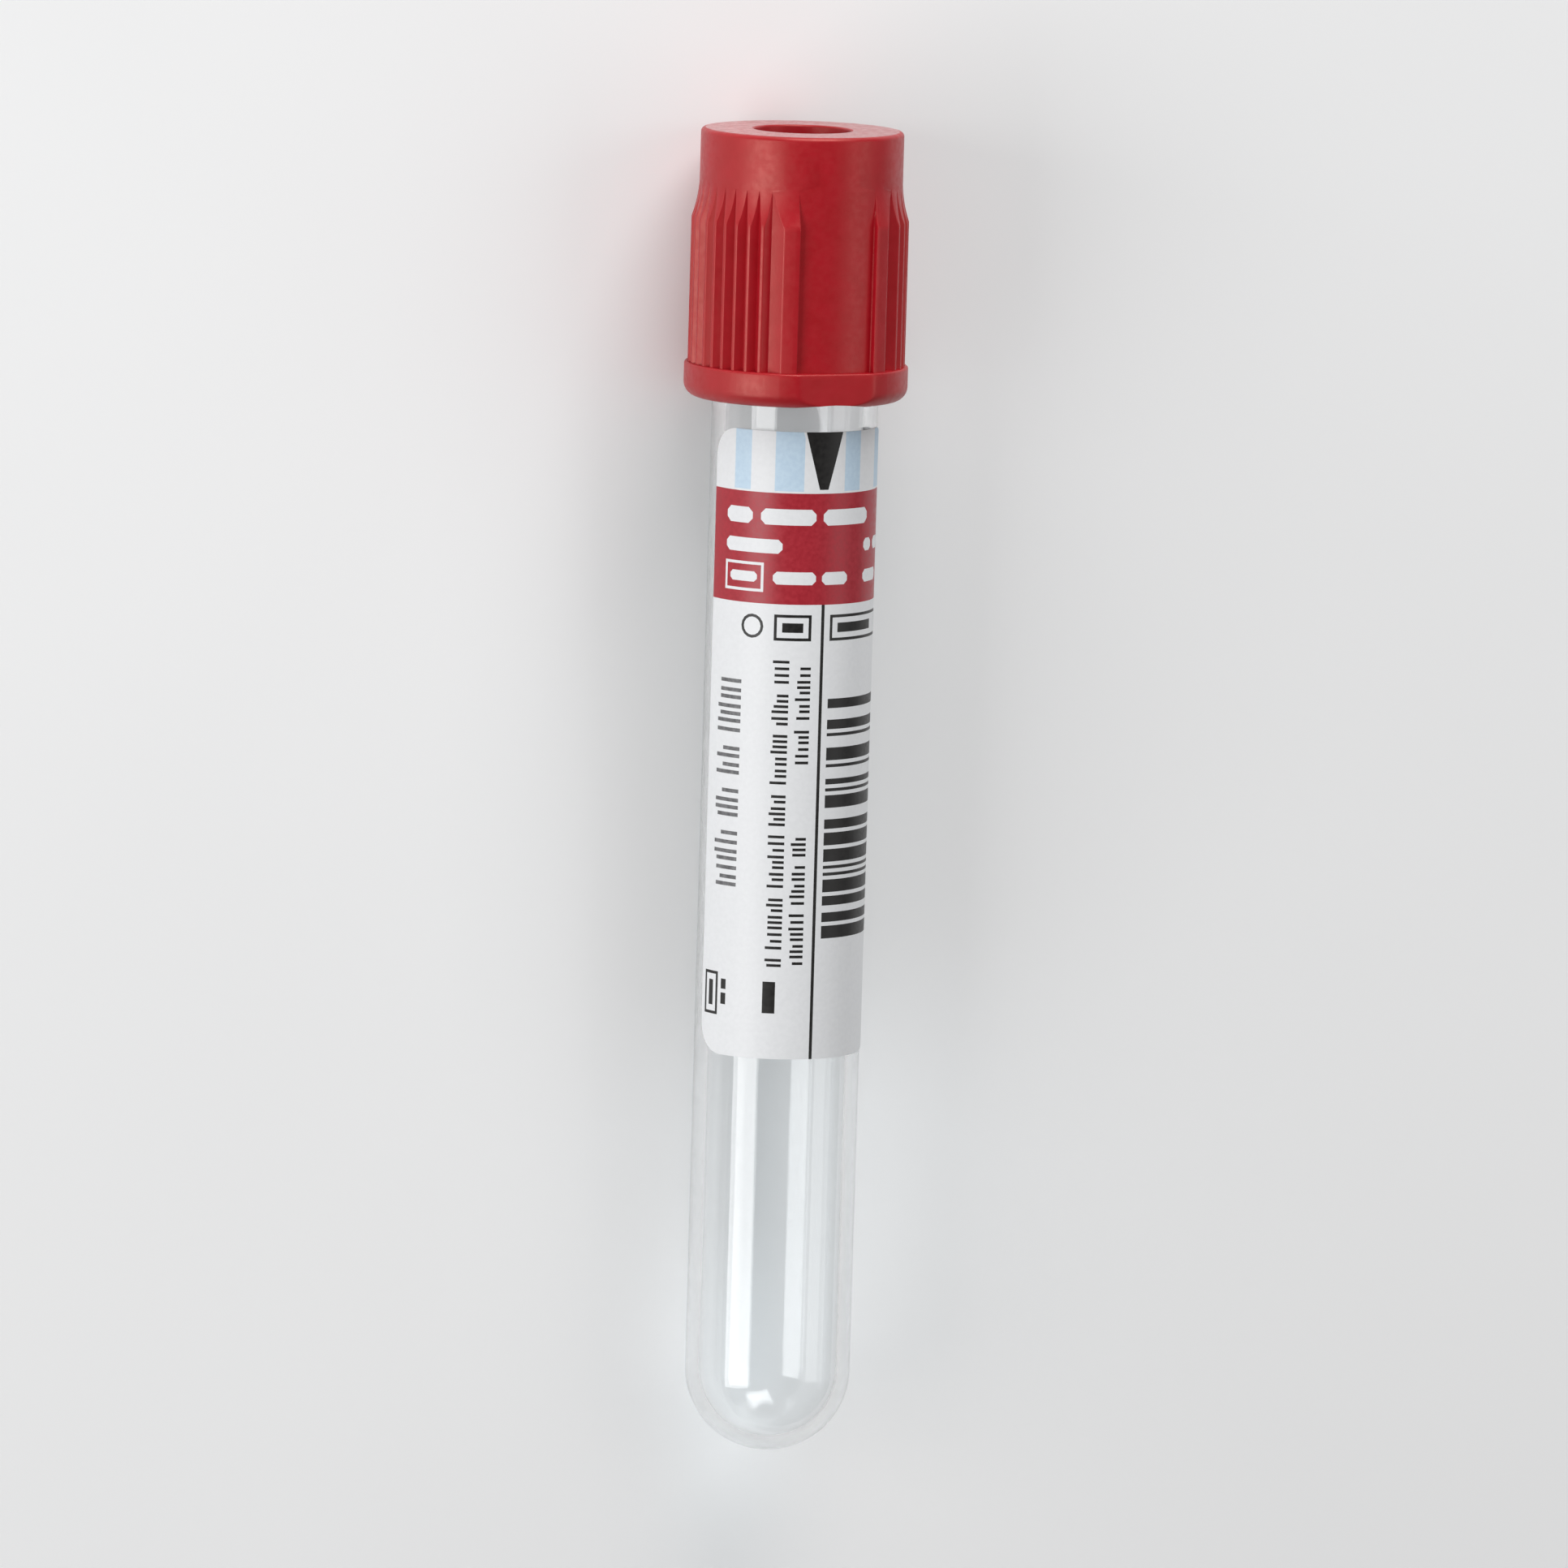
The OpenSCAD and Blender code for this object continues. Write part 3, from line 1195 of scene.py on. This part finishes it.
@dataclass
class Label(Piece):
    """The paper label: cut and printed flat, then wrapped round the tube."""

    node: ClassVar[str] = "label"
    body: ClassVar[str] = "barrel"
    slot: ClassVar[str] = "label_paper"

    top: float = 81.5
    height: float = 49.3
    angle: float = 162.0
    turn: float = -6.0
    corner: float = 2.5
    inner_radius: float = 6.515
    outer_radius: float = 6.597
    cell: float = 2.2
    facet: float = 2.5
    bleed: float = 0.1
    stripe_height: float = 4.75
    pointer_tip: float = 4.5
    heading_top: float = 4.8
    heading_height: float = 8.7
    stroke_cut: float = 0.3
    line: float = 0.23
    rule_left: float = 0.64
    rule_width: float = 0.26
    ladder_left: float = 1.4
    ladder_width: float = 6.95
    ladder_top: float = 20.9
    ladder_foot: float = 39.6
    bar_widths: ClassVar[tuple[float, ...]] = (0.25, 0.25, 0.45, 0.75, 1.0)
    bar_gaps: ClassVar[tuple[float, ...]] = (0.3, 0.3, 0.55, 0.9)
    stroke_groups: ClassVar[tuple[int, ...]] = (4, 6, 7, 9)
    stroke_indents: ClassVar[tuple[float, ...]] = (0, 0.12, 0.3)
    stroke_pitches: ClassVar[tuple[float, ...]] = (1.9, 2.4)
    group_gap: float = 2.5
    seed: int = 11
    prints: list[Patch] = field(default_factory=list)

    @property
    def width(self) -> float:
        """Width of the flat label, measured where its outer face will lie."""
        return math.radians(self.angle) * self.outer_radius

    def bars(self, ink: Ink, *places: Place, cut: float = 0.0) -> None:
        """Prints bars, each given by its left side, upper side, width and height."""
        self.prints += [Patch.bar(*place, ink, cut) for place in places]

    def frame(self, place: Place, line: float, ink: Ink, inside: Ink) -> None:
        """Prints an empty box.

        Args:
            place: its left side, upper side, width and height.
            line: the width of its line.
            ink: the line's ink.
            inside: what shows inside it.
        """
        left, top, width, height = place
        self.bars(ink, place)
        self.bars(inside, (left + line, top + line, width - 2 * line, height - 2 * line))

    def stripes(self) -> None:
        """Prints the zone of pale stripes and its black pointer."""
        top, tip = -self.bleed, self.pointer_tip
        for left, width in ((-6.9, 1.55), (-3.35, 2.3), (2.4, 1.65), (6.4, 1.75)):
            self.bars(Ink.PALE_BLUE, (left, top, width, self.stripe_height))
        self.prints.append(Patch(((-1.2, top), (2.35, top), (1.1, tip), (0.05, tip)), Ink.BARE))
        self.prints.append(Patch(((-1.0, top), (2.15, top), (0.93, tip), (0.22, tip)), Ink.BLACK))

    def heading(self) -> None:
        """Prints the red band with its plain pale strokes and its empty box."""
        self.bars(Ink.RED, (-self.width, self.heading_top, 2 * self.width, self.heading_height))
        self.frame((-7.65, 10.3, 3.6, 2.3), 0.22, Ink.BARE, Ink.RED)
        self.bars(
            Ink.BARE,
            (-7.6, 6.05, 2.5, 1.25), (-4.4, 6.05, 4.4, 1.25), (0.6, 6.05, 4.6, 1.25),
            (-7.6, 8.45, 5.0, 1.1), (-7.1, 11.05, 2.5, 0.8), (-3.3, 10.95, 3.4, 1.0),
            (0.6, 10.95, 2.3, 1.0), (4.8, 8.5, 1.2, 1.0), (6.5, 8.5, 1.6, 1.0), (4.8, 10.95, 2.6, 1.0),
            cut=self.stroke_cut,
        )

    def marks(self) -> None:
        """Prints the upright rule, the ring, the empty boxes and the small solid marks."""
        heading_foot = self.heading_top + self.heading_height
        self.bars(Ink.BLACK, (self.rule_left, heading_foot, self.rule_width, self.height))
        for radius, ink in ((0.95, Ink.BLACK), (0.72, Ink.BARE)):
            self.prints.append(Patch.disc(-4.9, 15.3, radius, ink))
        for place in ((-3.1, 14.3, 2.95, 2.05), (1.4, 14.3, 6.9, 2.05), (-8.85, 42.8, 1.6, 3.4)):
            self.frame(place, self.line, Ink.BLACK, Ink.BARE)
        self.bars(
            Ink.BLACK,
            (-2.45, 14.95, 1.65, 0.75), (2.1, 14.95, 4.2, 0.75), (-8.3, 43.5, 0.5, 2.0),
            (-6.9, 43.3, 0.5, 0.8), (-6.9, 44.4, 0.5, 0.9), (-3.2, 43.2, 1.0, 2.5),
        )

    def column(self, left: float, width: float, top: float, foot: float, ink: Ink, stroke: float) -> None:
        """Prints a column of short strokes across it, in groups with gaps between them.

        Args:
            left: the column's left side.
            width: its width.
            top: where it starts.
            foot: where it ends.
            ink: the strokes' ink.
            stroke: the width of a stroke.
        """
        chance = random.Random(self.seed + len(self.prints))
        down = top
        while down < foot - stroke:
            for _ in range(chance.choice(self.stroke_groups)):
                if down < foot - stroke:
                    short = chance.choice(self.stroke_indents) * width
                    self.bars(ink, (left + short, down, width - short, stroke))
                down += stroke * chance.choice(self.stroke_pitches)
            down += self.group_gap * stroke

    def ladder(self) -> None:
        """Prints the ladder of bars in an even random rhythm."""
        chance = random.Random(self.seed)
        down = self.ladder_top
        while down < self.ladder_foot:
            thick = chance.choice(self.bar_widths)
            self.bars(Ink.BLACK, (self.ladder_left, down, self.ladder_width, thick))
            down += thick + chance.choice(self.bar_gaps)

    def lay_out(self) -> None:
        """Lays out the whole print, from the top down."""
        self.stripes()
        self.heading()
        self.marks()
        for column in (
            (-8.1, 2.4, 19.6, 37.3, Ink.GREY, 0.3),
            (-3.1, 1.3, 17.9, 42.4, Ink.BLACK, 0.22),
            (-1.3, 1.2, 18.4, 26.4, Ink.BLACK, 0.22),
            (-1.3, 1.2, 31.8, 42.8, Ink.BLACK, 0.22),
        ):
            self.column(*column)
        self.ladder()

    def cut(self, piece: bpy.types.Object, patch: Patch) -> None:
        """Cuts the sides of one patch into the flat label, in the cells that it touches.

        Args:
            piece: the flat label, in edit mode.
            patch: the patch of print.
        """
        left, right, upper, lower = patch.spans()

        def touches(face: bmesh.types.BMFace) -> bool:
            """Whether the face's box meets the patch's box.

            Args:
                face: a face of the flat label.

            Returns:
                True where it does.
            """
            across = [point.co.x for point in face.verts]
            down = [self.top - point.co.z for point in face.verts]
            return (max(across) > left and min(across) < right
                    and max(down) > upper and min(down) < lower)

        for start, way in patch.edges():
            pick_faces(piece, touches)
            normal = Vector((way.y, 0, way.x)).normalized()
            bpy.ops.mesh.bisect(
                plane_co=(start.x, 0, self.top - start.y), plane_no=normal, threshold=CUT)

    def shape(self) -> bpy.types.Object:
        """Cuts the flat sheet, prints it, gives it its thickness and bends it round the tube.

        Returns:
            The piece, upright in millimetres.
        """
        bpy.ops.mesh.primitive_plane_add(size=1, rotation=(math.pi / 2, 0, 0))
        piece = new_piece("paper_label")
        piece.scale = (self.width, self.height, 1)
        piece.location = (0, 0, self.top - self.height / 2)
        bpy.ops.object.transform_apply(location=True, rotation=True, scale=True)
        open_mesh(piece)
        bpy.ops.mesh.select_all(action="SELECT")
        bpy.ops.mesh.bevel(offset=self.corner, affect="VERTICES", segments=10, clamp_overlap=False)
        self.slice(piece, "x", -self.width / 2, self.width / 2, self.cell)
        self.slice(piece, "z", self.top - self.height, self.top, self.cell)
        self.lay_out()
        for patch in self.prints:
            self.cut(piece, patch)
        self.slice(piece, "x", -self.width / 2, self.width / 2, math.radians(self.facet) * self.outer_radius)
        close_mesh()
        self.ink_faces(piece)
        self.wrap(piece)
        return piece

    def slice(self, piece: bpy.types.Object, way: str, low: float, high: float, step: float) -> None:
        """Cuts the whole sheet at even steps.

        Args:
            piece: the flat label, in edit mode.
            way: "x" or "z", the direction that the steps run in.
            low: where the sheet starts that way.
            high: where it ends.
            step: about how far apart the cuts are.
        """
        count = round((high - low) / step)
        normal = Vector((way == "x", 0, way == "z"))
        for cut in range(1, count):
            bpy.ops.mesh.select_all(action="SELECT")
            bpy.ops.mesh.bisect(
                plane_co=normal * (low + cut * (high - low) / count), plane_no=normal, threshold=CUT)

    def ink_faces(self, piece: bpy.types.Object) -> None:
        """Gives each face of the flat label the ink of the last patch over it.

        Args:
            piece: the flat label.
        """
        inks = list(Ink)
        for ink in inks:
            piece.data.materials.append(ink.value.material())
        for face in piece.data.polygons:
            across, down = face.center.x, self.top - face.center.z
            over = [patch for patch in self.prints if patch.holds(across, down)]
            face.material_index = inks.index(over[-1].ink) if over else inks.index(Ink.BARE)

    def wrap(self, piece: bpy.types.Object) -> None:
        """Thickens the flat label and bends it round the tube.

        Args:
            piece: the flat label, its print towards -Y.
        """
        paper = piece.modifiers.new("paper", "SOLIDIFY")
        paper.thickness = self.outer_radius - self.inner_radius
        paper.offset = -1
        paper.material_offset = len(Ink)
        paper.material_offset_rim = len(Ink)
        bpy.ops.object.modifier_apply(modifier=paper.name)
        turned = Matrix.Rotation(math.radians(self.turn), 4, "Z")
        for point in piece.data.vertices:
            around = point.co.x / self.outer_radius
            radius = self.outer_radius - point.co.y
            flat = Vector((radius * math.sin(around), -radius * math.cos(around), point.co.z))
            point.co = turned @ flat
        bpy.ops.object.shade_smooth_by_angle(angle=math.radians(CREASE))


# ---------------------------------------------------------------- studio


@dataclass(frozen=True)
class Lamp:
    """A soft rectangular lamp, its long side along the tube.

    Args:
        name: the lamp's name.
        turn_by: its place round the tube's axis, in degrees from straight up.
        rise: its lean towards the closure, in degrees.
        distance: from the tube's middle, in metres.
        width: across the tube, in metres.
        length: along the tube, in metres.
        watts: its power.
    """

    name: str
    turn_by: float
    rise: float
    distance: float
    width: float
    length: float
    watts: float


@dataclass
class Studio:
    """The floor, the soft lamps and the camera around the tube at rest."""

    rest: Rest
    middle_mm: float = 53.0
    view_turn: float = -23.0
    view_rise: float = 8.0
    view_roll: float = 1.65
    distance: float = 0.97
    lens: float = 284.0
    floor_size: float = 0.9
    floor_dark: Colour = (0.86, 0.862, 0.865)
    floor_light: Colour = (0.875, 0.877, 0.88)
    floor_haze_mm: float = 60.0
    floor_roughness: float = 0.7
    floor_glow: float = 0.08
    world_light: float = 0.2
    world_seen: float = 0.95
    lamps: ClassVar[tuple[Lamp, ...]] = (
        Lamp("key", -67, -4, 0.55, 0.34, 0.42, 1.8),
        Lamp("fill", 46, 4, 0.6, 0.3, 0.46, 0.5),
        Lamp("overhead", 4, 66, 0.7, 0.5, 0.4, 4.1),
    )

    def towards(self, turn_by: float, rise: float) -> Vector:
        """A direction away from the tube.

        Args:
            turn_by: the turn round the tube's axis from straight up, towards +X, in degrees.
            rise: the lean towards the closure, in degrees.

        Returns:
            The unit vector.
        """
        turn_by, rise = math.radians(turn_by), math.radians(rise)
        round_it = self.rest.up * math.cos(turn_by) + self.rest.across * math.sin(turn_by)
        return round_it * math.cos(rise) + self.rest.axis * math.sin(rise)

    @property
    def target(self) -> Vector:
        """The middle of the tube."""
        return self.rest.tip + self.rest.axis * self.middle_mm * MM

    def floor(self) -> None:
        """Lays the pale floor."""
        bpy.ops.mesh.primitive_plane_add(size=self.floor_size)
        floor = new_piece("floor")
        board = Board("floor")
        haze = board.grain(self.floor_haze_mm)
        ray = board.add("LightPath").outputs
        seen = board.add("Math", {0: ray["Is Camera Ray"], 1: ray["Is Glossy Ray"]}, operation="MAXIMUM")
        glow = board.add("Math", {0: seen.outputs[0], 1: self.floor_glow}, operation="MULTIPLY")
        shader = board.add("BsdfPrincipled", {
            "Base Color": board.tint(haze, self.floor_dark, self.floor_light),
            "Roughness": self.floor_roughness,
            "Specular IOR Level": 0.0,
            "Emission Color": (1, 1, 1, 1),
            "Emission Strength": glow.outputs[0],
        })
        floor.data.materials.append(board.output(shader.outputs[0]))

    def hang(self, lamp: Lamp) -> None:
        """Hangs one soft lamp.

        Args:
            lamp: its size, place and power.
        """
        away = self.towards(lamp.turn_by, lamp.rise)
        data = bpy.data.lights.new(lamp.name, "AREA")
        data.shape = "RECTANGLE"
        data.size, data.size_y = lamp.width, lamp.length
        data.energy = lamp.watts
        light = bpy.data.objects.new(lamp.name, data)
        bpy.context.scene.collection.objects.link(light)
        light.matrix_world = self.facing(away, self.target + away * lamp.distance)

    def facing(self, away: Vector, place: Vector, roll: float = 0.0) -> Matrix:
        """The pose of a lamp or camera that looks back at the tube, its top along the tube.

        Args:
            away: the direction from the tube to it.
            place: where it stands.
            roll: its turn about its own line of sight, in degrees.

        Returns:
            Its matrix.
        """
        side = self.rest.axis.cross(away).normalized()
        top = away.cross(side)
        turned = Matrix((side, top, away)).transposed().to_4x4()
        return Matrix.Translation(place) @ turned @ Matrix.Rotation(math.radians(roll), 4, "Z")

    def world(self) -> None:
        """A plain even surround: pale behind the tube, dimmer as light."""
        world = bpy.data.worlds.new("surround")
        bpy.context.scene.world = world
        world.use_nodes = True
        tree = world.node_tree
        tree.nodes.clear()
        ray = tree.nodes.new("ShaderNodeLightPath")
        strength = tree.nodes.new("ShaderNodeMapRange")
        strength.inputs["To Min"].default_value = self.world_light
        strength.inputs["To Max"].default_value = self.world_seen
        tree.links.new(ray.outputs["Is Camera Ray"], strength.inputs["Value"])
        light = tree.nodes.new("ShaderNodeBackground")
        light.inputs["Color"].default_value = (1, 1, 1, 1)
        tree.links.new(strength.outputs[0], light.inputs["Strength"])
        output = tree.nodes.new("ShaderNodeOutputWorld")
        tree.links.new(light.outputs[0], output.inputs["Surface"])

    def camera(self) -> None:
        """Sets the camera above the tube, a little to its left and towards its closure."""
        data = bpy.data.cameras.new("camera")
        data.lens = self.lens
        data.clip_end = 20
        away = self.towards(self.view_turn, self.view_rise)
        camera = bpy.data.objects.new("camera", data)
        bpy.context.scene.collection.objects.link(camera)
        camera.matrix_world = self.facing(away, self.target + away * self.distance, self.view_roll)
        bpy.context.scene.camera = camera

    def build(self) -> None:
        """Sets up the whole studio."""
        bpy.context.scene.view_settings.view_transform = "Standard"
        self.floor()
        self.world()
        for lamp in self.lamps:
            self.hang(lamp)
        self.camera()


# ---------------------------------------------------------------- main


def main() -> None:
    """Builds every piece, then the studio."""
    logging.basicConfig(level=logging.INFO, format="%(name)s: %(message)s")
    shield = Shield()
    rest = Rest.from_frame(shield.top)
    pieces: list[Piece] = [ClearTube(), Stopper(), shield, Label()]
    for piece in pieces:
        piece.build(rest)
    Studio(rest).build()


if __name__ == "__main__":
    main()
